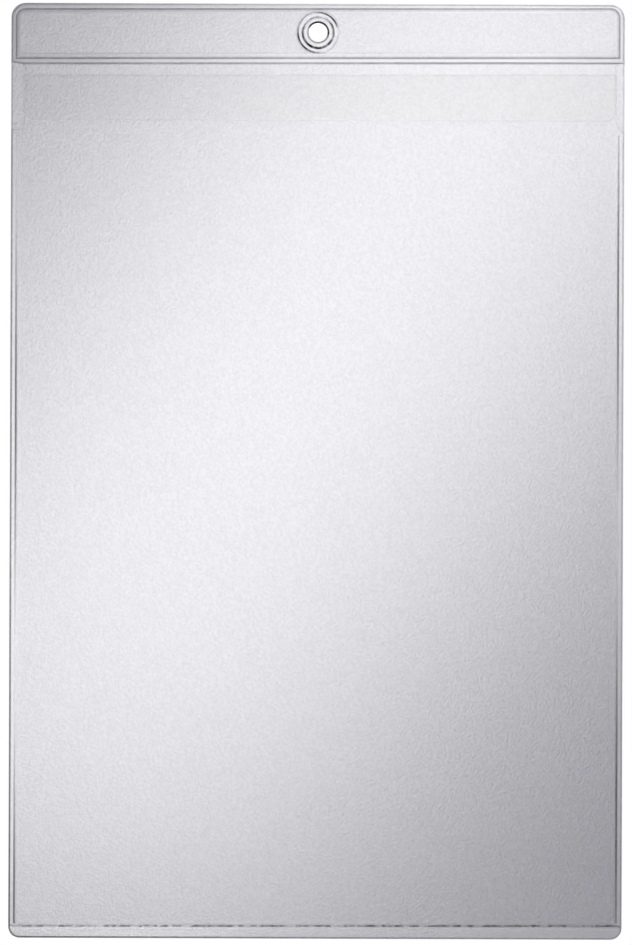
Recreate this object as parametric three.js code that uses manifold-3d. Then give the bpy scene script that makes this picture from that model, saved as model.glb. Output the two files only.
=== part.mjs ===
// A hanging display pocket for one A4 sheet, in millimetres, +Z up.
//
// Clear film is welded into a pocket under a header. The header's own front film runs on below its weld
// as a cover flap, which hangs over the pocket's mouth. The top of the pocket's front film is a lip
// whose sides aren't welded, so that it bends forward and lets a sheet in. An eyelet clamped
// through the header takes the nail or hook.
//
// The origin is on the eyelet's axis, in the plane of the back film's rear face. The front faces -Y,
// so what stands h in front of that plane lies at y = -h.

import * as THREE from 'three';
import { mergeVertices } from 'three/addons/utils/BufferGeometryUtils.js';
import Module from 'manifold-3d';

const wasm = await Module();
wasm.setup();

// The sheet that the pocket shows, and the room that it has inside the welds.
const insertWidth = 210;
const insertHeight = 297;
const sideRoom = 1.25;
const endRoom = 3.6;

// The films, and how far a weld presses into them from the front and from the rear.
const filmThickness = 0.25;
const frontPress = 0.1;
const rearPress = 0.06;
const weldEdge = 0.3;

// Widths of the welds.
const sideWeld = 2;
const bottomWeld = 4.4;
const headerWeld = 2;
const headerTopWeld = 1.6;

// The header, from its top edge to the lower edge of its weld, and the eyelet's place in it.
const headerHeight = 21;
const eyeletDrop = 10.2;
const topCorner = 5;
const panelCorner = 3;
const bottomCorner = 4;

// The mouth: the gap between the header and the lip, the lip, and the flap that hangs over both.
const mouthGap = 4;
const lipHeight = 20.6;
const lipInset = 1.6;
const lipCorner = 1;
const lipFlare = 4;
const flapLength = 20.6;
const flapInset = 2;
const flapCorner = 3.6;
const flapFillet = 2.6;

// How far the front film stands off the back film: at the middle of the lip, and in the belly, which
// is reached at bellyRise from the lip's top and from the bottom weld.
const lipGape = 0.6;
const bellyDepth = 6;
const bellyRise = 80;

// Clearances: between films that only lie on each other, and along the line where a film bends.
const layClearance = 0.1;
const bendClearance = 0.3;

// The eyelet: its bore and barrel, its two-step front flange, and the washer behind the header.
const boreRadius = 3.3;
const barrelWall = 0.75;
const barrelClearance = 0.1;
const crestRadius = 5.5;
const crestHeight = 1.25;
const flangeRadius = 7.35;
const flangeHeight = 0.55;
const washerRadius = 7;
const washerThickness = 0.7;
const rollRadius = 5.1;
const rollThickness = 0.35;

// Steps in the round shapes, and the shares of a half span at which a bowed film has its stations.
const cornerSteps = 6;
const eyeletSteps = 48;
const spanShares = [0, 0.28, 0.52, 0.7, 0.83, 0.93];

// Places worked out from the sizes above.
const insideHalf = insertWidth / 2 + sideRoom;
const outsideHalf = insideHalf + sideWeld;
const lipHalf = insideHalf - lipInset;
const flapHalf = insideHalf - flapInset;
const topEdge = eyeletDrop;
const headerBottom = topEdge - headerHeight;
const lipTop = headerBottom - mouthGap;
const lipBottom = lipTop - lipHeight;
const insideBottom = lipTop - insertHeight - endRoom;
const bottomEdge = insideBottom - bottomWeld;
const flapTip = headerBottom - flapLength;
const barrelRadius = boreRadius + barrelWall;
const filmHole = barrelRadius + barrelClearance;
const headerFront = 2 * filmThickness;

// Goes smoothly from 0 at t = 0 to 1 at t = 1, and stays level outside.
function ease(t) {
  const s = THREE.MathUtils.clamp(t, 0, 1);
  return s * s * (3 - 2 * s);
}

// Falls from 1 in the middle of a span to 0 at its end, ever faster, as a film does that a weld holds down.
function bow(share) {
  return 1 - THREE.MathUtils.clamp(Math.abs(share), 0, 1) ** 3;
}

// How far the front film stands off the back film. The lip isn't welded, so it is clear all over.
function cavityDepth(x, z) {
  const belly = ease((lipTop - z) / bellyRise);
  const gape = THREE.MathUtils.lerp(lipGape, bellyDepth, belly);
  const foot = bow(THREE.MathUtils.clamp(1 - (z - insideBottom) / bellyRise, 0, 1));
  const freeLip = layClearance * ease((z - lipBottom) / bendClearance);
  return gape * bow(x / insideHalf) * foot + freeLip;
}

// Heights of the front film's two faces. A weld presses its front face in.
function frontFilmRear(x, z) {
  return filmThickness + cavityDepth(x, z);
}

function frontFilmFront(x, z) {
  const welded = z <= lipBottom && (Math.abs(x) >= insideHalf || z <= insideBottom);
  return frontFilmRear(x, z) + filmThickness - (welded ? frontPress : 0);
}

// Height of the cover flap's rear face: below the header's weld it steps out over the lip, and lies on it.
function flapRear(x, z) {
  const overLip = frontFilmFront(0, Math.min(z, lipTop)) + layClearance;
  return THREE.MathUtils.lerp(filmThickness + layClearance / 2, overLip, ease((headerBottom - z) / mouthGap));
}

function flapFront(x, z) {
  return flapRear(x, z) + filmThickness;
}

// Evenly spaced numbers from one end to the other, both included.
function spread(from, to, count) {
  return Array.from({ length: count }, (_, i) => THREE.MathUtils.lerp(from, to, i / (count - 1)));
}

// A closed film on a grid of stations, between the heights rear(x, z) and front(x, z). Both lists of
// stations rise.
function filmGrid(xs, zs, rear, front) {
  const columns = xs.length - 1;
  const rows = zs.length - 1;
  const geometry = new THREE.BoxGeometry(1, 1, 1, columns, 1, rows);
  const position = geometry.attributes.position;
  for (let i = 0; i < position.count; i++) {
    const x = xs[Math.round((position.getX(i) + 0.5) * columns)];
    const z = zs[Math.round((position.getZ(i) + 0.5) * rows)];
    const height = position.getY(i) > 0 ? rear(x, z) : front(x, z);
    position.setXYZ(i, x, -height, z);
  }
  return geometry;
}

// A flat sheet of an outline in X and Z, from one height to another.
function flatSheet(outline, from, to) {
  const geometry = new THREE.ExtrudeGeometry(outline, {
    depth: to - from,
    bevelEnabled: false,
    curveSegments: cornerSteps,
  });
  return geometry.translate(0, 0, from).rotateX(Math.PI / 2);
}

// A closed geometry as a solid for cutting, and a solid back as a geometry.
function toSolid(geometry) {
  const bare = geometry.clone();
  bare.deleteAttribute('normal');
  bare.deleteAttribute('uv');
  const merged = mergeVertices(bare, 1e-5);
  return new wasm.Manifold(new wasm.Mesh({
    numProp: 3,
    vertProperties: Float32Array.from(merged.attributes.position.array),
    triVerts: Uint32Array.from(merged.index.array),
  }));
}

function toGeometry(solid) {
  const mesh = solid.getMesh();
  const geometry = new THREE.BufferGeometry();
  geometry.setAttribute('position', new THREE.BufferAttribute(Float32Array.from(mesh.vertProperties), 3));
  geometry.setIndex(new THREE.BufferAttribute(Uint32Array.from(mesh.triVerts), 1));
  geometry.computeVertexNormals();
  return geometry;
}

function cut(body, ...tools) {
  return toGeometry(tools.reduce((solid, tool) => solid.subtract(toSolid(tool)), toSolid(body)));
}

function keepInside(body, outline) {
  const margin = 1;
  const deepest = bellyDepth + 3 * filmThickness + margin;
  return toGeometry(toSolid(body).intersect(toSolid(flatSheet(outline, -margin, deepest))));
}

// A rectangle in X and Z with its own radius at the top corners and at the bottom corners.
function roundedRectangle(half, bottom, top, topRadius, bottomRadius) {
  const shape = new THREE.Shape();
  shape.moveTo(half, bottom + bottomRadius);
  shape.lineTo(half, top - topRadius);
  if (topRadius > 0) shape.absarc(half - topRadius, top - topRadius, topRadius, 0, Math.PI / 2, false);
  shape.lineTo(-half + topRadius, top);
  if (topRadius > 0) shape.absarc(-half + topRadius, top - topRadius, topRadius, Math.PI / 2, Math.PI, false);
  shape.lineTo(-half, bottom + bottomRadius);
  if (bottomRadius > 0) {
    shape.absarc(-half + bottomRadius, bottom + bottomRadius, bottomRadius, Math.PI, Math.PI * 1.5, false);
  }
  shape.lineTo(half - bottomRadius, bottom);
  if (bottomRadius > 0) {
    shape.absarc(half - bottomRadius, bottom + bottomRadius, bottomRadius, Math.PI * 1.5, Math.PI * 2, false);
  }
  return shape;
}

// The round hole that the eyelet's barrel passes through, as a tool to cut with.
function barrelHole() {
  const circle = new THREE.Shape();
  circle.absarc(0, 0, filmHole, 0, Math.PI * 2, false);
  const margin = 1;
  const geometry = new THREE.ExtrudeGeometry(circle, {
    depth: headerFront + 2 * margin,
    bevelEnabled: false,
    curveSegments: eyeletSteps / 2,
  });
  return geometry.translate(0, 0, -margin).rotateX(Math.PI / 2);
}

// The back film carries everything. The header's weld also marks its rear, right across.
function backSheet() {
  const outline = roundedRectangle(outsideHalf, bottomEdge, topEdge, topCorner, bottomCorner);
  const weldMark = roundedRectangle(outsideHalf + 1, headerBottom, headerBottom + headerWeld, 0, 0);
  return cut(flatSheet(outline, 0, filmThickness), flatSheet(weldMark, -1, rearPress), barrelHole());
}

// The header's front film: a panel inside a weld that presses its margin in all round.
function headerSheet() {
  const outline = roundedRectangle(outsideHalf, headerBottom, topEdge, topCorner, 0);
  const margin = roundedRectangle(outsideHalf + 1, headerBottom - 1, topEdge + 1, 0, 0);
  const panelBottom = headerBottom + headerWeld;
  const panelTop = topEdge - headerTopWeld;
  margin.holes.push(roundedRectangle(insideHalf, panelBottom, panelTop, panelCorner, 0));
  const pressed = flatSheet(margin, headerFront - frontPress, headerFront + 1);
  return cut(flatSheet(outline, filmThickness, headerFront), pressed, barrelHole());
}

// Stations across a bowed film, which go past its edge and have a pair where the weld begins.
function stationsAcross(half) {
  const inner = spanShares.map((share) => share * insideHalf);
  const weld = [insideHalf - weldEdge, insideHalf].filter((x) => x < half);
  const right = [...inner, ...weld, half + 1];
  return [...right.slice(1).reverse().map((x) => -x), ...right];
}

// The pocket's front film below the lip, welded to the back film at its sides and its bottom.
function frontSheet() {
  const footShares = spanShares.map((share) => insideBottom + bellyRise * (1 - share));
  const belly = spread(lipTop - bellyRise, insideBottom + bellyRise, 4).slice(1, -1);
  const shoulder = spread(lipBottom, lipTop - bellyRise, 6);
  const falling = [...shoulder, ...belly, ...footShares, insideBottom + weldEdge, insideBottom, bottomEdge - 1];
  const grid = filmGrid(stationsAcross(outsideHalf), falling.reverse(), frontFilmRear, frontFilmFront);
  return keepInside(grid, roundedRectangle(outsideHalf, bottomEdge, lipBottom, 0, bottomCorner));
}

// Stations down the lip. The flap has the same ones where it lies on the lip, so that they stay clear.
const lipStations = spread(flapTip, lipTop, 6);

// The free top of the pocket's front film. Its sides flare out to where the side welds begin.
function frontLip() {
  const shape = new THREE.Shape();
  const base = lipBottom + bendClearance;
  const shoulder = lipBottom + lipFlare;
  shape.moveTo(outsideHalf, base);
  shape.quadraticCurveTo(lipHalf, base, lipHalf, shoulder);
  shape.lineTo(lipHalf, lipTop - lipCorner);
  shape.absarc(lipHalf - lipCorner, lipTop - lipCorner, lipCorner, 0, Math.PI / 2, false);
  shape.lineTo(-lipHalf + lipCorner, lipTop);
  shape.absarc(-lipHalf + lipCorner, lipTop - lipCorner, lipCorner, Math.PI / 2, Math.PI, false);
  shape.lineTo(-lipHalf, shoulder);
  shape.quadraticCurveTo(-lipHalf, base, -outsideHalf, base);
  const rows = [lipBottom, base, ...lipStations.slice(0, -1), lipTop + 1];
  const grid = filmGrid(stationsAcross(outsideHalf), rows, frontFilmRear, frontFilmFront);
  return keepInside(grid, shape);
}

// The header's film below its weld: a flap with round lower corners, and a fillet at each end of its root.
function coverFlap() {
  const shape = new THREE.Shape();
  const root = headerBottom - bendClearance;
  shape.moveTo(insideHalf, root);
  shape.quadraticCurveTo(flapHalf, root, flapHalf, root - flapFillet);
  shape.lineTo(flapHalf, flapTip + flapCorner);
  shape.absarc(flapHalf - flapCorner, flapTip + flapCorner, flapCorner, 0, -Math.PI / 2, true);
  shape.lineTo(-flapHalf + flapCorner, flapTip);
  shape.absarc(-flapHalf + flapCorner, flapTip + flapCorner, flapCorner, -Math.PI / 2, -Math.PI, true);
  shape.lineTo(-flapHalf, root - flapFillet);
  shape.quadraticCurveTo(-flapHalf, root, -insideHalf, root);
  const rows = [flapTip - 1, ...lipStations.slice(1), ...spread(lipTop, headerBottom, 5).slice(1)];
  return keepInside(filmGrid([-outsideHalf, outsideHalf], rows, flapRear, flapFront), shape);
}

// A ring turned round the Y axis from a closed profile of (radius, height).
function turned(profile) {
  const points = [...profile, profile[0]].map(([radius, height]) => new THREE.Vector2(radius, -height));
  return new THREE.LatheGeometry(points, eyeletSteps);
}

// The eyelet's barrel, with its two-step flange in front and its end rolled over the washer behind.
function eyeletBarrel() {
  const crest = headerFront + crestHeight;
  const flange = headerFront + flangeHeight;
  const rollFront = -washerThickness - layClearance / 2;
  const rollRear = rollFront - rollThickness;
  const round = 0.3;
  const middle = (boreRadius + crestRadius) / 2;
  return turned([
    [boreRadius, rollRear + round],
    [boreRadius, crest - 1.5 * round],
    [boreRadius + round, crest - round / 2],
    [middle, crest],
    [crestRadius - round, crest - round],
    [crestRadius, flange - round / 2],
    [crestRadius + round, flange],
    [flangeRadius - 2 * round, flange],
    [flangeRadius, headerFront + round / 2],
    [flangeRadius - round / 2, headerFront],
    [barrelRadius, headerFront],
    [barrelRadius, rollFront],
    [rollRadius, rollFront],
    [rollRadius - round / 2, rollRear],
    [boreRadius + round, rollRear],
  ]);
}

// The washer that the barrel's end is rolled over, flat against the back film.
function eyeletWasher() {
  const round = 0.25;
  return turned([
    [barrelRadius + barrelClearance, 0],
    [washerRadius - round, 0],
    [washerRadius, -round],
    [washerRadius - round, -washerThickness],
    [barrelRadius + barrelClearance, -washerThickness],
  ]);
}

const clearFilm = { roughness: 0.32, metalness: 0, transparent: true };

function film(name, geometry, colour, opacity) {
  const mesh = new THREE.Mesh(geometry, new THREE.MeshStandardMaterial({ ...clearFilm, color: colour, opacity }));
  mesh.name = name;
  return mesh;
}

function plastic(name, geometry, colour) {
  const material = new THREE.MeshStandardMaterial({ color: colour, roughness: 0.2, metalness: 0 });
  const mesh = new THREE.Mesh(geometry, material);
  mesh.name = name;
  return mesh;
}

// A group whose origin is on a bend line, so that turning it about X bends the film there.
function bendLine(height, z, mesh) {
  const group = new THREE.Group();
  group.position.set(0, -height, z);
  mesh.geometry.translate(0, height, -z);
  group.add(mesh);
  return group;
}

// The flap bends just in front of the pressed weld, and the lip at the belly's foremost point there.
const flapBendHeight = headerFront - frontPress / 2;
const lipBendHeight = frontFilmFront(0, lipBottom);

const pocket = new THREE.Group();
pocket.add(film('back_sheet', backSheet(), 0xd3d6dc, 0.45));
pocket.add(film('front_sheet', frontSheet(), 0xdfe1e6, 0.45));
pocket.add(film('header_sheet', headerSheet(), 0xdadde2, 0.45));
pocket.add(bendLine(flapBendHeight, headerBottom, film('cover_flap', coverFlap(), 0xd6d9de, 0.45)));
pocket.add(bendLine(lipBendHeight, lipBottom, film('front_lip', frontLip(), 0xdfe1e6, 0.45)));
pocket.add(plastic('eyelet_barrel', eyeletBarrel(), 0xe9ebef));
pocket.add(plastic('eyelet_washer', eyeletWasher(), 0xe4e6ea));

export default pocket;
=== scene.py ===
# %% [markdown]
# # A hanging display pocket
#
# A pocket of clear, finely grained film that shows one sheet of paper. Three films are welded into one
# flat body: a back, a front that makes the pocket, and a header whose film runs on as a cover flap over
# the pocket's mouth. A clear eyelet in the header takes the nail.
#
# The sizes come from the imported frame. The front faces -Y, Z is up, and the eyelet's axis is the origin.

# %% Load the frame
import math

import bmesh
import bpy
from mathutils import Matrix, Vector


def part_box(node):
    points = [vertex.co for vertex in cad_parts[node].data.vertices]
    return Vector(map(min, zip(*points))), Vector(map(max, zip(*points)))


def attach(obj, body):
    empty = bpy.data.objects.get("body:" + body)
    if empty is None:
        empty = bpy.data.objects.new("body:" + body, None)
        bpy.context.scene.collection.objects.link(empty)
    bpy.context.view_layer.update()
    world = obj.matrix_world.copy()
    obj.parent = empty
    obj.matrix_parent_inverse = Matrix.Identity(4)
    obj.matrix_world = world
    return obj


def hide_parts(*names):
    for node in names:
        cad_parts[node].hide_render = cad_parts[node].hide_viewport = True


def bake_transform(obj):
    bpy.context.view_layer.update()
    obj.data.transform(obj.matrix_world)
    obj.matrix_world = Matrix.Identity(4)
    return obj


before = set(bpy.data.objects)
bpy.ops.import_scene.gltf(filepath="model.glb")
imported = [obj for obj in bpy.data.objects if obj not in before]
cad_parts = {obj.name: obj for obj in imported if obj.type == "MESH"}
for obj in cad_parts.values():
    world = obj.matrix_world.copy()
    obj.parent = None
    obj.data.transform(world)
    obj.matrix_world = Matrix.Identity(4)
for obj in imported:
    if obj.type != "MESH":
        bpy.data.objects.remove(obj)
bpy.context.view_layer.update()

MM = 0.001

# %% [markdown]
# ## Measures
#
# Every film hangs in the frame's places. What the frame gives is read from its nodes' boxes: the outline
# from the back film, the weld's lower edge from the header, the mouth from the lip. What a box can't say,
# such as the width of a weld, is a named value beside them.

# %% Measures from the frame
back_low, back_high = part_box("back_sheet")
front_low, front_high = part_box("front_sheet")
_, lip_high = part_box("front_lip")
header_low, header_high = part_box("header_sheet")
flap_low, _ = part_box("cover_flap")
barrel_low, barrel_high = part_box("eyelet_barrel")
_, washer_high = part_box("eyelet_washer")

HALF = back_high.x
TOP = back_high.z
BOTTOM = back_low.z
HEADER_BOTTOM = header_low.z
LIP_TOP = lip_high.z
WELD_START = front_high.z
FLAP_TIP = flap_low.z
FILM = header_high.y - header_low.y
HEADER_FRONT = -header_low.y
BELLY = -front_low.y - 2 * FILM

# %% Measures that a box can't give
SIDE_WELD = 2 * MM
BOTTOM_WELD = 4.4 * MM
CUT_EDGE = 0.6 * MM
WELD_GAP = 0.02 * MM
TOP_CORNER = 5 * MM
BOTTOM_CORNER = 4 * MM
LIP_INSET = 1.6 * MM
LIP_GAPE = 0.6 * MM
LIP_CLEARANCE = 0.1 * MM
LIP_LIFT = 2 * MM
BELLY_RISE = 80 * MM
FLAP_INSET = 2 * MM
LAID_ASIDE = 1 * MM
MOUTH_GAP = HEADER_BOTTOM - LIP_TOP
WELD_TOP = WELD_START - 0.7 * MM
INSIDE = HALF - SIDE_WELD
INSIDE_BOTTOM = BOTTOM + BOTTOM_WELD
room = (2 * INSIDE, HEADER_BOTTOM - INSIDE_BOTTOM)
print("pocket inside:", [round(length / MM, 1) for length in room], "mm")

# %% [markdown]
# ## How a film lies
#
# The back film is flat. The front film is held down at its welds and stands off in between, in a shallow
# belly that fades towards the mouth and the bottom. One function of the place gives its height, so the
# pocket, the lip and the flap that lies on the lip all follow the same surface and stay clear.


# %% Height of the front film
def ease(t):
    s = min(max(t, 0), 1)
    return s * s * (3 - 2 * s)


def bow(share):
    return 1 - min(abs(share), 1) ** 3


def pocket_height(x, z):
    """How far the front film's rear face stands in front of the origin's plane."""
    gape = LIP_GAPE + (BELLY - LIP_GAPE) * ease((LIP_TOP - z) / BELLY_RISE)
    foot = bow(min(max(1 - (z - INSIDE_BOTTOM) / BELLY_RISE, 0), 1))
    free_lip = LIP_CLEARANCE * ease((z - WELD_START) / LIP_LIFT)
    return FILM + WELD_GAP + gape * bow(x / INSIDE) * foot + free_lip


def flap_height(z):
    """The same for the flap, which steps out from the header's weld and lies on the lip."""
    over_lip = pocket_height(0, min(z, LIP_TOP)) + FILM + LIP_CLEARANCE
    start = FILM + LIP_CLEARANCE / 2
    return start + (over_lip - start) * ease((HEADER_BOTTOM - z) / MOUTH_GAP)


stand_off = {z: round(pocket_height(0, z * MM) / MM, 2) for z in (-20, -60, -150, -300)}
print("the front film stands off by", stand_off, "mm")

# %% [markdown]
# ## Welds
#
# A welding bar presses the films together. Beside the cut edge it leaves a smooth bead, which shows
# bright, then a groove, which shows as a dark line, and inside that a bright rim where the film comes up
# again. Beside the pocket the bead is highest near the cut and slopes down inward, towards the light. A
# profile lists these strips from the film's edge inward: where each ends in millimetres, its height there
# as a share of the bead, and its kind. Each kind of strip has its own material, by face.

# %% Weld profiles
BEAD_HEIGHT = 0.12 * MM
# Each kind's material paints light: beads and rims are painted highlights, while grooves, cut edges and
# soft strips are painted shade.
FILM_FACE, EDGE_FACE, BEAD_FACE, GROOVE_FACE, SHADE_FACE, FOOT_GROOVE_FACE = range(6)
SMOOTH_FACE, PAINTED_LIGHT_FACE, MARGIN_FACE = range(6, 9)

side_profile = [
    (CUT_EDGE / MM, 0, EDGE_FACE),
    (0.74, 1, BEAD_FACE),
    (1.65, 0, BEAD_FACE),
    (2.35, 0, GROOVE_FACE),
    (3.0, 0, BEAD_FACE),
]
foot_profile = [
    (CUT_EDGE / MM, 0, EDGE_FACE),
    (0.7, 0.8, BEAD_FACE),
    (2.9, 0.5, BEAD_FACE),
    (3.2, 0.4, SHADE_FACE),
    (3.28, 1, BEAD_FACE),
    (4.15, 0, BEAD_FACE),
    (4.85, 0, FOOT_GROOVE_FACE),
    (5.4, 0, BEAD_FACE),
]
header_profile = [
    (0.95, 1, BEAD_FACE),
    (1.25, 1, BEAD_FACE),
    (1.5, 0, BEAD_FACE),
    (2.15, 0, GROOVE_FACE),
    (2.7, 0, SHADE_FACE),
    (3.4, 0, BEAD_FACE),
]


def weld_at(profile, inward):
    """Height and kind of a weld's surface, at a distance inward from the film's edge."""
    last_end, last_height = 0, 0
    for end, height, kind in profile:
        if inward <= (end + 0.001) * MM:
            share = (inward / MM - last_end) / (end - last_end)
            return BEAD_HEIGHT * (last_height + (height - last_height) * share), kind
        last_end, last_height = end, height
    return 0, FILM_FACE


print("the side weld's strips end at", [end for end, _, _ in side_profile], "mm")

# %% [markdown]
# In the photograph the welds lie level, while the trimmed outline leans by a fifth of a degree. A film's
# weld lines are turned back by as much once they have their heights, and its outline stays where it is.

# %% Trimmed askew
LEAN = math.radians(0.21)
LEAN_START = 1 * MM


def level_welds(bm, fade_end=BOTTOM, fade_start=BOTTOM):
    """Turns what lies inside the outline, and less and less of it from one height down to another."""
    for vert in bm.verts:
        inward = min(HALF - abs(vert.co.x), TOP - vert.co.z, vert.co.z - BOTTOM)
        share = min(max(inward - CUT_EDGE, 0) / LEAN_START, 1)
        if vert.co.z < fade_start:
            share *= max(vert.co.z - fade_end, 0) / (fade_start - fade_end)
        vert.co.z += math.tan(LEAN) * vert.co.x * share


print("the welds turn by", round(math.degrees(LEAN), 2), "degrees")

# %% [markdown]
# ## Film helpers
#
# A film starts as one flat face with its outline's corners, each rounded by a vertex bevel of its own
# radius. Cutting planes then give it rows and columns, every vertex moves to its height, and one
# extrusion gives the film its thickness. That way each film is a single closed skin.


# %% Outline and rows
CORNER_STEPS = 8


def round_off(bm, corners, radius):
    """Rounds corners of a flat outline."""
    bmesh.ops.bevel(
        bm, geom=corners, offset=radius, affect="VERTICES", segments=CORNER_STEPS, profile=0.5, material=-1
    )


def film_face(corners):
    """A new bmesh with one face, from (x, z, radius) corners that run anticlockwise seen from the front."""
    bm = bmesh.new()
    verts = [bm.verts.new((x, 0, z)) for x, z, _ in corners]
    bm.faces.new(verts)
    for radius in sorted({r for _, _, r in corners if r > 0}):
        group = [v for v, (_, _, r) in zip(verts, corners) if r == radius]
        round_off(bm, group, radius)
    return bm


def cut_rows(bm, xs=(), zs=()):
    planes = [((x, 0, 0), (1, 0, 0)) for x in xs] + [((0, 0, z), (0, 0, 1)) for z in zs]
    for place, normal in planes:
        geometry = bm.verts[:] + bm.edges[:] + bm.faces[:]
        bmesh.ops.bisect_plane(bm, geom=geometry, plane_co=place, plane_no=normal, dist=1e-6)


def mark_cut_edge(bm):
    """Sets off a narrow band inside the outline, which takes the cut edge's material."""
    ring = bmesh.ops.inset_region(
        bm, faces=bm.faces[:], thickness=CUT_EDGE, use_even_offset=True, use_boundary=True
    )
    for face in ring["faces"]:
        face.material_index = EDGE_FACE


# %% Thickness and object
def thicken(bm, thickness):
    """Extrudes a film forward, and gives its narrow sides the cut edge's material."""
    made = bmesh.ops.extrude_face_region(bm, geom=bm.faces[:])["geom"]
    front = [e for e in made if isinstance(e, bmesh.types.BMVert)]
    bmesh.ops.translate(bm, verts=front, vec=(0, -thickness, 0))
    bmesh.ops.recalc_face_normals(bm, faces=bm.faces[:])
    for face in bm.faces:
        if abs(face.normal.y) < 0.5:
            face.material_index = EDGE_FACE


def spread(start, end, step):
    """Evenly spaced places between two ends, about a step apart."""
    count = max(1, round(abs(end - start) / step))
    return [start + (end - start) * i / count for i in range(1, count)]


def as_piece(bm, name, materials, sharp=35):
    """Turns a bmesh into a smooth-shaded object, with sharp edges where it turns by enough degrees."""
    mesh = bpy.data.meshes.new(name)
    bm.to_mesh(mesh)
    bm.free()
    mesh.shade_smooth()
    mesh.set_sharp_from_angle(angle=math.radians(sharp))
    for material in materials:
        mesh.materials.append(material)
    piece = bpy.data.objects.new(name, mesh)
    bpy.context.scene.collection.objects.link(piece)
    print(name, "has", len(mesh.polygons), "faces")
    return piece


# %% [markdown]
# ## Film material
#
# The film is clear, but its pressed grain scatters light, so it is half see-through and half milky. That
# is a Principled BSDF whose Alpha is the share that scatters, with a soft gloss on top that grows where
# the film is seen at a slant. The grain is a noise of about a millimetre, in the bump and in the colour,
# and a wide noise clouds the colour. The back film scatters most, because one, two and three films look
# nearly alike. The welds take the same material with other tones and stronger clouds, because a pressed
# line comes and goes along its length. Their light beads are painted highlights, and their dark grooves
# and cut edges are painted shade, where clear film bends the light away. Beside the pocket the lines come
# and go slowly: there a swell, a sine wave of the place, takes the clouds' part, the cut edges' painted
# shade is darker towards the lower left, and where the groove is faint the cut edge is dark.


# %% Node helpers
def feed(tree, socket, value):
    """Sets a socket to a value, or links it where the value is another node's output."""
    if isinstance(value, bpy.types.NodeSocket):
        tree.links.new(value, socket)
    else:
        socket.default_value = value


def math_node(tree, operation, *values):
    node = tree.nodes.new("ShaderNodeMath")
    node.operation = operation
    for socket, value in zip(node.inputs, values):
        feed(tree, socket, value)
    return node.outputs[0]


def vector_node(tree, operation, output, *values):
    node = tree.nodes.new("ShaderNodeVectorMath")
    node.operation = operation
    for socket, value in zip(node.inputs, values):
        feed(tree, socket, value)
    return node.outputs[output]


def range_node(tree, value, low, high):
    """Stretches a value so that it goes from 0 to 1 between two limits."""
    node = tree.nodes.new("ShaderNodeMapRange")
    node.inputs["From Min"].default_value = low
    node.inputs["From Max"].default_value = high
    tree.links.new(value, node.inputs["Value"])
    return node.outputs["Result"]


def noise_node(tree, place, scale, detail, roughness=0.5):
    node = tree.nodes.new("ShaderNodeTexNoise")
    for name, value in (("Vector", place), ("Scale", scale), ("Detail", detail), ("Roughness", roughness)):
        feed(tree, node.inputs[name], value)
    return node.outputs["Fac"]


def mix_colours(tree, share, first, second):
    node = tree.nodes.new("ShaderNodeMix")
    node.data_type = "RGBA"
    for name, value in (("Factor", share), ("A", first), ("B", second)):
        feed(tree, node.inputs[name], value)
    return node.outputs["Result"]


def mix_shaders(tree, share, first, second):
    node = tree.nodes.new("ShaderNodeMixShader")
    for socket, value in zip(node.inputs, (share, first, second)):
        feed(tree, socket, value)
    return node.outputs["Shader"]


# %% Grain and tone
GRAIN_SCALE = 1200
GRAIN_ROUGHNESS = 0.6
NOISE_DETAIL = 3


def tint(level):
    """A grey of the film's own faint violet."""
    return (level, 0.996 * level, min(1, 1.06 * level), 1)


def swell(tree, place, steepness, phase):
    """A slow wave between 0 and 1, from its steepness in degrees a millimetre and its phase in degrees."""
    direction = [math.radians(degrees) / MM for degrees in steepness]
    reach = vector_node(tree, "DOT_PRODUCT", "Value", place, direction)
    wave = math_node(tree, "SINE", math_node(tree, "ADD", reach, math.radians(phase)))
    return math_node(tree, "MULTIPLY_ADD", wave, 0.5, 0.5)


def grain_and_tone(tree, dark, light, clouds=1.5, cloud_scale=20, spread=0.12, wave=None):
    """A fine grain, and a colour between two tones. The clouds count for so many times the grain."""
    place = tree.nodes.new("ShaderNodeTexCoord").outputs["Object"]
    grain = noise_node(tree, place, GRAIN_SCALE, NOISE_DETAIL, GRAIN_ROUGHNESS)
    cloud = swell(tree, place, *wave) if wave else noise_node(tree, place, cloud_scale, NOISE_DETAIL)
    both = math_node(tree, "MULTIPLY_ADD", cloud, clouds, grain)
    share = range_node(tree, both, (0.5 - spread) * (1 + clouds), (0.5 + spread) * (1 + clouds))
    return grain, mix_colours(tree, share, tint(dark), tint(light))


# %% Film material
GRAIN_DEPTH = 0.6 * MM
SLANT_POWER = 8


def film_material(name, dark, light, alpha, roughness=0.3, grain=0.1, gloss=0.01, **pattern):
    """Film of two tones that scatters a share of the light, under a gloss that grows with the slant."""
    material = bpy.data.materials.new(name)
    material.use_nodes = True
    tree = material.node_tree
    link = tree.links.new
    shader = tree.nodes["Principled BSDF"]
    shader.inputs["Alpha"].default_value = alpha
    shader.inputs["Roughness"].default_value = roughness
    shader.inputs["Specular IOR Level"].default_value = 0
    shine = tree.nodes.new("ShaderNodeBsdfGlossy")
    shine.inputs["Roughness"].default_value = roughness

    height, tone = grain_and_tone(tree, dark, light, **pattern)
    link(tone, shader.inputs["Base Color"])
    bump = tree.nodes.new("ShaderNodeBump")
    bump.inputs["Strength"].default_value = grain
    bump.inputs["Distance"].default_value = GRAIN_DEPTH
    link(height, bump.inputs["Height"])
    for surface in (shader, shine):
        link(bump.outputs["Normal"], surface.inputs["Normal"])

    slant = tree.nodes.new("ShaderNodeLayerWeight")
    slant.inputs["Blend"].default_value = 0.5
    steep = math_node(tree, "POWER", slant.outputs["Facing"], SLANT_POWER)
    share = math_node(tree, "MULTIPLY_ADD", steep, 1 - gloss, gloss)
    over = mix_shaders(tree, share, shader.outputs["BSDF"], shine.outputs["BSDF"])
    link(over, tree.nodes["Material Output"].inputs["Surface"])
    print(name, "scatters", alpha, "at each face")
    return material


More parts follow.
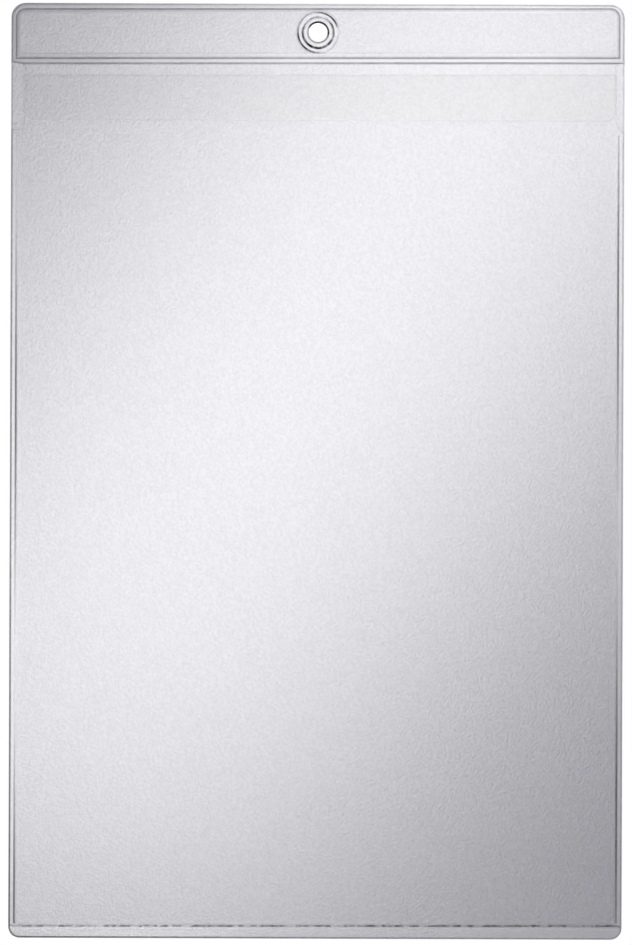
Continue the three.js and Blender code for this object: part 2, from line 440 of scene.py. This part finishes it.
# %% Film finishes
even = {"clouds": 0.08, "cloud_scale": 60}
# a slow wave of painted shade, which makes the cut edge darker towards the lower left
edge_shade_wave = {"spread": 0.3, "wave": ((0.556, 0, 0.25), 80)}
groove_swell = {"spread": 0.3, "wave": ((-0.412, 0, 2), 134)}

film_front = film_material("front film", 0.82, 0.905, 0.006, roughness=0.35, grain=0.5, gloss=0.004, **even)
film_back = film_material("back film", 0.82, 0.905, 0.9, roughness=0.4, grain=1, **even)
painted_light_at_mouth = film_material("back film's painted light at the mouth", 0.86, 0.943, 0.9, roughness=0.4, grain=1, **even)
film_margin = film_material("back film at the weld", 0.88, 0.95, 0.8, roughness=0.4, grain=1, **even)
# The cut edges' dark tones are painted shade, where the clear film's edge bends the light away.
front_cut_painted_shade = film_material("front film edge's painted shade", 0, 0.75, 0.18, **edge_shade_wave)
back_cut_painted_shade = film_material("back film edge's painted shade", 0.2, 0.75, 0.65, **edge_shade_wave)
# The beads' light tones are painted highlights.
painted_side_highlight = film_material("side bead's painted highlight", 0.9, 1, 0.15, roughness=0.15, gloss=0.03)
# The grooves' dark tones are painted shade, where pressed clear film bends the light away.
painted_shade_beside_pocket = film_material("side groove's painted shade", 0.1, 1, 0.36, **groove_swell)
painted_shade_at_foot = film_material("foot groove's painted shade", 0, 1, 0.3, cloud_scale=500, spread=0.06)
painted_header_highlight = film_material("header bead's painted highlight", 0.81, 0.94, 0.95, roughness=0.15)
painted_shade_round_header = film_material("header groove's painted shade", 0.05, 0.4, 0.25)
# The soft strips in the welds and the free edges take a faint painted shade.
painted_soft_shade = film_material("painted soft shade", 0.4, 0.5, 0.04)

# in the order of the kinds of face
front_materials = [film_front, front_cut_painted_shade, painted_side_highlight, painted_shade_beside_pocket, painted_soft_shade, painted_shade_at_foot]
header_materials = [film_front, front_cut_painted_shade, painted_header_highlight, painted_shade_round_header, painted_soft_shade]
back_materials = [film_back, back_cut_painted_shade, painted_side_highlight, painted_shade_beside_pocket, painted_soft_shade, painted_shade_at_foot]
back_materials += [film_front, painted_light_at_mouth, film_margin]

# %% [markdown]
# ## Back film
#
# The back film carries everything and has the whole outline. It lies flat, so it needs few faces, and a
# hole for the eyelet's barrel. An inner face would close that hole, so the face is taken out and the
# space between the outline and a circle is filled instead. At the mouth the back film is painted a shade
# lighter than in the pocket, painted light that makes up for the light the flap and lip in front of it
# take, and pressing has made it clearer at the welds. On the rear, the welding bar leaves one shallow
# groove along each weld. The grooves' edges are kept sharp, so that they don't shade the large flat faces
# beside them.

# %% Outline and hole
BARREL_HOLE = 4.15 * MM
HOLE_STEPS = 48


def open_hole(bm, radius):
    """Replaces the largest face by one with a round hole at the eyelet."""
    face = max(bm.faces, key=lambda f: f.calc_area())
    rim = face.edges[:]
    bmesh.ops.delete(bm, geom=[face], context="FACES_ONLY")
    turn = Matrix.Rotation(math.radians(90), 4, "X")
    circle = bmesh.ops.create_circle(bm, cap_ends=False, radius=radius, segments=HOLE_STEPS, matrix=turn)
    rim += dict.fromkeys(edge for vert in circle["verts"] for edge in vert.link_edges)
    bmesh.ops.triangle_fill(bm, edges=rim, use_beauty=True)


# %% Grooves on the rear
GROOVE_IN = 1.95 * MM
FOOT_GROOVE_IN = 4.5 * MM
GROOVE_HALF = 0.35 * MM
GROOVE_DEPTH = 0.1 * MM
TINY = 0.001 * MM
groove_x = HALF - GROOVE_IN
foot_z = BOTTOM + FOOT_GROOVE_IN
header_foot_z, header_top_z = HEADER_BOTTOM + GROOVE_IN, TOP - GROOVE_IN


def rear_groove_distance(x, z):
    """How far a point of the rear face is from the nearest groove's middle."""
    ways = [abs(z - foot_z)]
    if foot_z - TINY < z < WELD_TOP + TINY or header_foot_z - TINY < z < header_top_z + TINY:
        ways.append(abs(abs(x) - groove_x))
    if abs(x) < groove_x + TINY:
        ways += [abs(z - header_foot_z), abs(z - header_top_z)]
    return min(ways)


print("the rear grooves are", round(2 * GROOVE_HALF / MM, 2), "mm wide")

# %% Back film's faces
bm = film_face([
    (-HALF, BOTTOM, BOTTOM_CORNER),
    (HALF, BOTTOM, BOTTOM_CORNER),
    (HALF, TOP, TOP_CORNER),
    (-HALF, TOP, TOP_CORNER),
])
mark_cut_edge(bm)
open_hole(bm, BARREL_HOLE)
across_groove = (-GROOVE_HALF, 0, GROOVE_HALF)
columns = [side * groove_x + step for side in (-1, 1) for step in across_groove]
rows = [z + step for z in (foot_z, header_foot_z, header_top_z) for step in across_groove]
cut_rows(bm, xs=columns, zs=rows + [WELD_TOP, FLAP_TIP, HEADER_BOTTOM])
thicken(bm, FILM)
for vert in bm.verts:
    if vert.co.y > -TINY and rear_groove_distance(vert.co.x, vert.co.z) < TINY:
        vert.co.y = -GROOVE_DEPTH
for face in bm.faces:
    if face.material_index != FILM_FACE:
        continue
    middle = face.calc_center_median()
    beside_pocket = middle.z < WELD_TOP and abs(middle.x) > groove_x - GROOVE_HALF
    if face.normal.y > 0.5:
        in_groove = rear_groove_distance(middle.x, middle.z) < GROOVE_HALF
        face.material_index = GROOVE_FACE if in_groove else SMOOTH_FACE
    # at the mouth the back film takes a lighter tone, painted light that makes up for what the flap and lip
    # take
    elif FLAP_TIP < middle.z < HEADER_BOTTOM:
        face.material_index = PAINTED_LIGHT_FACE
    elif beside_pocket or middle.z < foot_z - GROOVE_HALF:
        face.material_index = MARGIN_FACE
back_film = as_piece(bm, "back_film", back_materials, sharp=14)
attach(back_film, "pocket")
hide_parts("back_sheet")

# %% [markdown]
# ## Front film and lip
#
# The front film is one piece from the bottom weld up to the mouth. Its top stretch is a lip with free
# sides, which flare out to the full width where the side welds begin. Seen from the front, the outline
# has a hollow corner there, so that corner is bevelled like the others.

# %% Front film's outline and rows
LIP_HALF = INSIDE - LIP_INSET
FLARE_TOP = WELD_START + 1.2 * MM
FLARE_RADIUS = 3 * MM
FLARE_CORNER = 0.4 * MM
LIP_CORNER = 1 * MM
WIDE_STEP, LIP_STEP, BEND_STEP = 8 * MM, 3 * MM, 1 * MM

bm = film_face([
    (-HALF, BOTTOM, BOTTOM_CORNER),
    (HALF, BOTTOM, BOTTOM_CORNER),
    (HALF, FLARE_TOP, FLARE_CORNER),
    (LAID_ASIDE + LIP_HALF, FLARE_TOP, FLARE_RADIUS),
    (LAID_ASIDE + LIP_HALF, LIP_TOP, LIP_CORNER),
    (LAID_ASIDE - LIP_HALF, LIP_TOP, LIP_CORNER),
    (LAID_ASIDE - LIP_HALF, FLARE_TOP, FLARE_RADIUS),
    (-HALF, FLARE_TOP, FLARE_CORNER),
])
mark_cut_edge(bm)

side_steps = [HALF - end * MM for end, _, _ in side_profile[1:]]
columns = [0] + side_steps + spread(0, INSIDE - BEND_STEP, WIDE_STEP)
foot_steps = [BOTTOM + end * MM for end, _, _ in foot_profile[1:]]
bend_low, bend_high = WELD_START - 2 * MM, WELD_START + 8 * MM
rows = foot_steps + [WELD_TOP] + spread(bend_low, bend_high, BEND_STEP)
rows += spread(INSIDE_BOTTOM + BEND_STEP, bend_low, WIDE_STEP) + spread(bend_high, LIP_TOP, LIP_STEP)
cut_rows(bm, xs=[s * x for x in columns for s in (-1, 1)], zs=rows)
print("the front film starts with", len(bm.faces), "faces")


# %% Front film's height and kinds
def front_weld(x, z):
    """Height and kind of the front film's surface over its welds, and none on the lip."""
    foot = weld_at(foot_profile, z - BOTTOM)
    if foot[1] != FILM_FACE or z > WELD_TOP:
        return foot
    return weld_at(side_profile, HALF - abs(x))


for vert in bm.verts:
    vert.co.y = -pocket_height(vert.co.x, vert.co.z) - front_weld(vert.co.x, vert.co.z)[0]
# Each face takes its weld kind, whose material paints a highlight or shade, and the lip's free edges take
# the faint painted shade.
for face in bm.faces:
    middle = face.calc_center_median()
    if face.material_index != EDGE_FACE:
        face.material_index = front_weld(middle.x, middle.z)[1]
    elif middle.z > WELD_START:
        face.material_index = SHADE_FACE
level_welds(bm)
thicken(bm, FILM)
front_film = as_piece(bm, "pocket_front_film", front_materials)

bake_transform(front_film)
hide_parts("front_sheet", "front_lip")

# %% [markdown]
# ## Header film and flap
#
# The header's weld runs all round its panel, so its bead is made by insets of one face: a little flat
# edge, up to the bead, along it, down into the groove, and up again to the panel. The flap is the same
# film, carried on below the weld.

# %% Header film's outline and rows
FLAP_HALF = INSIDE - FLAP_INSET
FLAP_CORNER = 3.6 * MM
ROOT_FILLET = 2 * MM
CREASE = 0.75 * MM
FLAP_STEP, FINE_STEP = 2 * MM, 0.25 * MM

bm = film_face([
    (LAID_ASIDE - FLAP_HALF, FLAP_TIP, FLAP_CORNER),
    (LAID_ASIDE + FLAP_HALF, FLAP_TIP, FLAP_CORNER),
    (LAID_ASIDE + FLAP_HALF, HEADER_BOTTOM, ROOT_FILLET),
    (HALF, HEADER_BOTTOM, 0),
    (HALF, TOP, TOP_CORNER),
    (-HALF, TOP, TOP_CORNER),
    (-HALF, HEADER_BOTTOM, 0),
    (LAID_ASIDE - FLAP_HALF, HEADER_BOTTOM, ROOT_FILLET),
])
mark_cut_edge(bm)
bend_low = HEADER_BOTTOM - 4 * MM
crease_low, crease_high = HEADER_BOTTOM - CREASE / 2, HEADER_BOTTOM + CREASE / 2
panel_start = HEADER_BOTTOM + CUT_EDGE + WELD_GAP
flap_rows = spread(bend_low, crease_low, FINE_STEP) + spread(FLAP_TIP, bend_low, FLAP_STEP)
cut_rows(bm, zs=[crease_low, crease_high, panel_start] + flap_rows)
print("the header film starts with", len(bm.faces), "faces")

# %% Header film's height and kinds
for vert in bm.verts:
    below = vert.co.z < HEADER_BOTTOM - CREASE
    vert.co.y = -flap_height(vert.co.z) if below else -FILM - WELD_GAP
# The crease takes the groove's painted shade, the strip above it the bead's painted highlight, and the
# flap's free edges the faint painted shade.
for face in bm.faces:
    up = face.calc_center_median().z - HEADER_BOTTOM
    if abs(up) < CREASE / 2:
        face.material_index = GROOVE_FACE
    elif up < 0 and face.material_index == EDGE_FACE:
        face.material_index = SHADE_FACE
    elif 0 < up < panel_start - HEADER_BOTTOM and face.material_index != EDGE_FACE:
        face.material_index = BEAD_FACE
print("the crease is", CREASE / MM, "mm high")

# %% Weld round the header's panel
panel = max((f for f in bm.faces if f.calc_center_median().z > HEADER_BOTTOM), key=lambda f: f.calc_area())
last_end, last_height = CUT_EDGE / MM, 0
for end, height, kind in header_profile:
    width, lift = (end - last_end) * MM, (height - last_height) * BEAD_HEIGHT
    ring = bmesh.ops.inset_region(bm, faces=[panel], thickness=width, depth=lift, use_even_offset=True)
    for face in ring["faces"]:
        face.material_index = kind
    last_end, last_height = end, height
level_welds(bm, FLAP_TIP, HEADER_BOTTOM)
open_hole(bm, BARREL_HOLE)
thicken(bm, FILM)
header_film = as_piece(bm, "header_and_flap_film", header_materials)

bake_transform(header_film)
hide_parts("header_sheet", "cover_flap")

# %% [markdown]
# ## Eyelet
#
# The eyelet is clear plastic: a barrel with a round crest about its bore and a low round flange, rolled
# over a washer behind the header. Each is a profile spun about the eyelet's axis, with its corners rounded
# by vertex bevels before the spin, because moulded plastic has no sharp corners. Light that enters at the
# bore's mouth, at the foot of the crest and at the flange's rim is bent away, so clear plastic shows dark
# rings there. Each such ring has faces of its own, whose colour is that shade painted on, darker on one
# side of the ring.


# %% Eyelet shapes
BORE = 3.3 * MM
BARREL = 4.05 * MM
CREST = 5.5 * MM
FLANGE = barrel_high.x
CREST_FRONT = -barrel_low.y
FLANGE_FRONT = HEADER_FRONT + 0.75 * MM
WASHER = washer_high.x
WASHER_REAR = -washer_high.y
WASHER_BORE = BARREL + 0.1 * MM
ROLL = 5.1 * MM
ROLL_REAR = -barrel_high.y
ROLL_FRONT = WASHER_REAR - 0.05 * MM
FLANGE_REAR = HEADER_FRONT + 0.15 * MM
MOUTH = 0.65 * MM
SPIN_STEPS = 96
# rings whose faces take painted shade for the light that the clear plastic bends away
painted_shade_rings = [(BORE, BORE + MOUTH), (CREST - 0.5 * MM, CREST + 0.4 * MM), (FLANGE - 0.55 * MM, FLANGE)]


def spun(profile, name, materials, rings=()):
    """Spins a closed profile of (radius, height, rounding) about the Y axis."""
    bm = bmesh.new()
    verts = [bm.verts.new((radius, -height, 0)) for radius, height, _ in profile]
    for first, second in zip(verts, verts[1:] + verts[:1]):
        bm.edges.new((first, second))
    for rounding in sorted({r for _, _, r in profile if r > 0}):
        group = [v for v, (_, _, r) in zip(verts, profile) if r == rounding]
        round_off(bm, group, rounding)
    bmesh.ops.spin(
        bm, geom=bm.verts[:] + bm.edges[:], cent=(0, 0, 0), axis=(0, 1, 0), angle=math.tau,
        steps=SPIN_STEPS, use_merge=True,
    )
    bmesh.ops.remove_doubles(bm, verts=bm.verts[:], dist=1e-7)
    bmesh.ops.recalc_face_normals(bm, faces=bm.faces[:])
    for face in bm.faces:
        middle = face.calc_center_median()
        radius = math.hypot(middle.x, middle.z)
        for index, (low, high) in enumerate(rings):
            if middle.y < -HEADER_FRONT and low <= radius <= high:
                face.material_index = 1 + index
    return as_piece(bm, name, materials)


# %% Eyelet plastic
def paint_shade_towards(material, hands, broken_share=0.4):
    """Paints shade on a ring, on the sides that clock hands point to, each from one closeness to another.
    """
    tree = material.node_tree
    kinds = {node.bl_idname: node for node in tree.nodes}
    tone = kinds["ShaderNodeMix"].inputs["Factor"]
    clouds = tone.links[0].from_socket
    flat = vector_node(tree, "MULTIPLY", "Vector", kinds["ShaderNodeTexCoord"].outputs["Object"], (1, 0, 1))
    outward = vector_node(tree, "NORMALIZE", "Vector", flat)
    lightness = []
    for clock, start, full in hands:
        angle = clock * math.pi / 6
        hand = (math.sin(angle), 0, math.cos(angle))
        closeness = vector_node(tree, "DOT_PRODUCT", "Value", outward, hand)
        lightness.append(range_node(tree, closeness, full, start))
    broken = tree.nodes.new("ShaderNodeMix")
    broken.inputs["Factor"].default_value = broken_share
    tree.links.new(math_node(tree, "MINIMUM", *lightness), broken.inputs["A"])
    tree.links.new(clouds, broken.inputs["B"])
    tree.links.new(broken.outputs["Result"], tone)


def plastic(name, dark, light, alpha, gloss=0.02):
    """Smooth plastic, from the film's recipe with hardly any grain and small clouds."""
    small_clouds = {"clouds": 2, "cloud_scale": 450, "spread": 0.08}
    return film_material(name, dark, light, alpha, roughness=0.08, grain=0.02, gloss=gloss, **small_clouds)


# %% Eyelet finishes
clear_plastic = plastic("clear moulded plastic", 0.85, 0.95, 0.85, gloss=0.08)
painted_bore_shade = plastic("painted shade at the bore", 0, 0.5, 0.97)
painted_crest_shade = plastic("painted shade at the crest", 0.01, 0.9, 0.92)
painted_flange_shade = plastic("painted shade at the eyelet's rim", 0, 0.85, 0.95)
# Each ring's painted shade is darkest towards the clock hands given here.
paint_shade_towards(painted_bore_shade, [(12.8, -0.1, 0.3), (12, 0.5, 1)], broken_share=0.15)
paint_shade_towards(painted_crest_shade, [(6.8, -0.4, 0.4), (2.6, 0.6, 1)])
paint_shade_towards(painted_flange_shade, [(1.2, 0.75, 0.93), (7.6, 0.5, 0.85)], broken_share=0.3)
eyelet_materials = [clear_plastic, painted_bore_shade, painted_crest_shade, painted_flange_shade]

# %% Barrel and washer
barrel = spun(
    [
        (BORE, ROLL_REAR, 0.3 * MM),
        (BORE, CREST_FRONT - 0.5 * MM, 0.12 * MM),
        (BORE + MOUTH, CREST_FRONT, 0.25 * MM),
        (CREST, CREST_FRONT, 1.0 * MM),
        (CREST, FLANGE_FRONT - 0.25 * MM, 0.1 * MM),
        (CREST + 0.35 * MM, FLANGE_FRONT, 0.3 * MM),
        (FLANGE, FLANGE_FRONT, 0.6 * MM),
        (FLANGE, FLANGE_REAR, 0),
        (BARREL, FLANGE_REAR, 0),
        (BARREL, ROLL_FRONT, 0),
        (ROLL, ROLL_FRONT, 0.1 * MM),
        (ROLL, ROLL_REAR, 0.2 * MM),
    ],
    "eyelet_with_flange",
    eyelet_materials,
    painted_shade_rings,
)
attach(barrel, "pocket")
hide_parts("eyelet_barrel")

washer = spun(
    [
        (WASHER_BORE, 0, 0),
        (WASHER, 0, 0.1 * MM),
        (WASHER, WASHER_REAR, 0.3 * MM),
        (WASHER_BORE, WASHER_REAR, 0),
    ],
    "rear_washer",
    eyelet_materials,
)
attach(washer, "pocket")
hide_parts("eyelet_washer")

# %% [markdown]
# ## Light
#
# One long soft box hangs close in front of the pocket and slants across it. Near lamps fall off fast, so
# the film is brightest along the slant and dims towards two corners, as in the photograph. A wide, weak
# lamp lights the back. The photograph's dim film is slightly violet and its brightest film neutral, so
# the lamps are a touch warm and the world's weak fill is blue.


# %% Lamps
LAMP_COLOUR = (1, 0.99, 0.955)
SLANT = math.radians(58)


def soft_box(name, place, across, up, size, power):
    """A rectangular lamp that lies along two directions and shines against their cross product."""
    lamp = bpy.data.lights.new(name, "AREA")
    lamp.color = LAMP_COLOUR
    lamp.shape = "RECTANGLE"
    lamp.size, lamp.size_y = size
    lamp.energy = power
    box = bpy.data.objects.new(name, lamp)
    axes = Matrix((across, up, across.cross(up))).transposed()
    box.matrix_world = Matrix.Translation(place) @ axes.to_4x4()
    box.visible_camera = False
    bpy.context.scene.collection.objects.link(box)
    print(name, "gives", power, "W")


along = Vector((math.cos(SLANT), 0, math.sin(SLANT)))
aside = Vector((-math.sin(SLANT), 0, math.cos(SLANT)))
soft_box("front soft box", (0.005, -0.12, -0.09), along, aside, (0.5, 0.185), 0.486)
soft_box("rear soft box", (0.1, 1.0, 0.2), Vector((-1, 0, 0)), Vector((0, 0, 1)), (1.2, 1.2), 11.4)

# %% [markdown]
# The camera, gloss and clear parts see a white studio. Diffuse light sees only the weak fill instead, so
# the white background puts no more light on the object. The studio's sides have dark patches that only
# gloss sees, because a clear curve in an all-white room would have no dark lines.

# %% World
FILL_COLOUR, FILL_STRENGTH = (0.62, 0.66, 1, 1), 0.078
WHITE, DARK = (1, 1, 1, 1), (0.02, 0.025, 0.05, 1)

world = bpy.data.worlds.new("studio")
bpy.context.scene.world = world
world.use_nodes = True
tree = world.node_tree


def background(colour, strength=1):
    node = tree.nodes.new("ShaderNodeBackground")
    feed(tree, node.inputs["Color"], colour)
    node.inputs["Strength"].default_value = strength
    return node.outputs["Background"]


way = tree.nodes.new("ShaderNodeTexCoord").outputs["Generated"]
split = tree.nodes.new("ShaderNodeSeparateXYZ")
tree.links.new(way, split.inputs["Vector"])
sides = range_node(tree, math_node(tree, "ABSOLUTE", split.outputs["Y"]), 0.8, 0.45)
patches = range_node(tree, noise_node(tree, way, 1.7, 1), 0.42, 0.55)
studio = mix_colours(tree, math_node(tree, "MULTIPLY", sides, patches), WHITE, DARK)

rays = tree.nodes.new("ShaderNodeLightPath").outputs
camera_or_gloss = math_node(tree, "MAXIMUM", rays["Is Camera Ray"], rays["Is Glossy Ray"])
sees_studio = math_node(tree, "MAXIMUM", camera_or_gloss, rays["Is Transmission Ray"])
lit = mix_shaders(tree, sees_studio, background(FILL_COLOUR, FILL_STRENGTH), background(studio))
seen = mix_shaders(tree, rays["Is Camera Ray"], lit, background(WHITE))
tree.links.new(seen, tree.nodes["World Output"].inputs["Surface"])
print("the fill's strength is", FILL_STRENGTH)

# %% [markdown]
# ## Floor
#
# The pocket hangs clear of a plain pale floor, which lies below the photograph's frame. To the camera the
# floor is nearly as white as the background, and it still takes the object's shadow.

# %% Floor
FLOOR_SIZE = 3
FLOOR_DROP = 0.12
FLOOR_COLOUR = (0.85, 0.85, 0.85, 1)
GLOW_STRENGTH, GLOW_SHARE = 1.23, 0.8

bm = bmesh.new()
bmesh.ops.create_grid(bm, x_segments=1, y_segments=1, size=FLOOR_SIZE)
bmesh.ops.translate(bm, verts=bm.verts[:], vec=(0, 0, BOTTOM - FLOOR_DROP))
mesh = bpy.data.meshes.new("floor")
bm.to_mesh(mesh)
bm.free()
floor = bpy.data.objects.new("floor", mesh)
bpy.context.scene.collection.objects.link(floor)

paint = bpy.data.materials.new("pale floor")
paint.use_nodes = True
tree = paint.node_tree
matt = tree.nodes["Principled BSDF"]
matt.inputs["Base Color"].default_value = FLOOR_COLOUR
matt.inputs["Roughness"].default_value = 0.8
glow = tree.nodes.new("ShaderNodeEmission")
glow.inputs["Strength"].default_value = GLOW_STRENGTH
camera_ray = tree.nodes.new("ShaderNodeLightPath").outputs["Is Camera Ray"]
share = math_node(tree, "MULTIPLY", camera_ray, GLOW_SHARE)
shown = mix_shaders(tree, share, matt.outputs["BSDF"], glow.outputs["Emission"])
tree.links.new(shown, tree.nodes["Material Output"].inputs["Surface"])
mesh.materials.append(paint)
print("the floor lies", FLOOR_DROP, "m below the pocket")

# %% [markdown]
# ## Camera
#
# The photograph looks straight at the pocket, which fills its height. The pocket's outline leans clockwise
# by a fifth of a degree, so the camera is rolled the other way by as much, and it is aimed so that the
# pocket's middle falls on the same pixel.

# %% Camera
IMAGE_WIDTH, IMAGE_HEIGHT = 632, 945
POCKET_MIDDLE_PX = (316.5, 471.3)
PIXEL = 0.3531 * MM
DISTANCE = 1.5

camera_data = bpy.data.cameras.new("camera")
camera_data.sensor_width = 36
camera_data.lens = camera_data.sensor_width * DISTANCE / (IMAGE_HEIGHT * PIXEL)
camera = bpy.data.objects.new("camera", camera_data)
right = (IMAGE_WIDTH / 2 - POCKET_MIDDLE_PX[0]) * PIXEL
up = (POCKET_MIDDLE_PX[1] - IMAGE_HEIGHT / 2) * PIXEL
middle = Vector((right, -DISTANCE, (TOP + BOTTOM) / 2 + up))
level = Matrix.Rotation(math.radians(90), 4, "X")
camera.matrix_world = Matrix.Translation(middle) @ level @ Matrix.Rotation(LEAN, 4, "Z")
bpy.context.scene.collection.objects.link(camera)
bpy.context.scene.camera = camera
bpy.context.scene.view_settings.view_transform = "Standard"
print("lens", round(camera_data.lens, 1), "mm at", DISTANCE, "m")
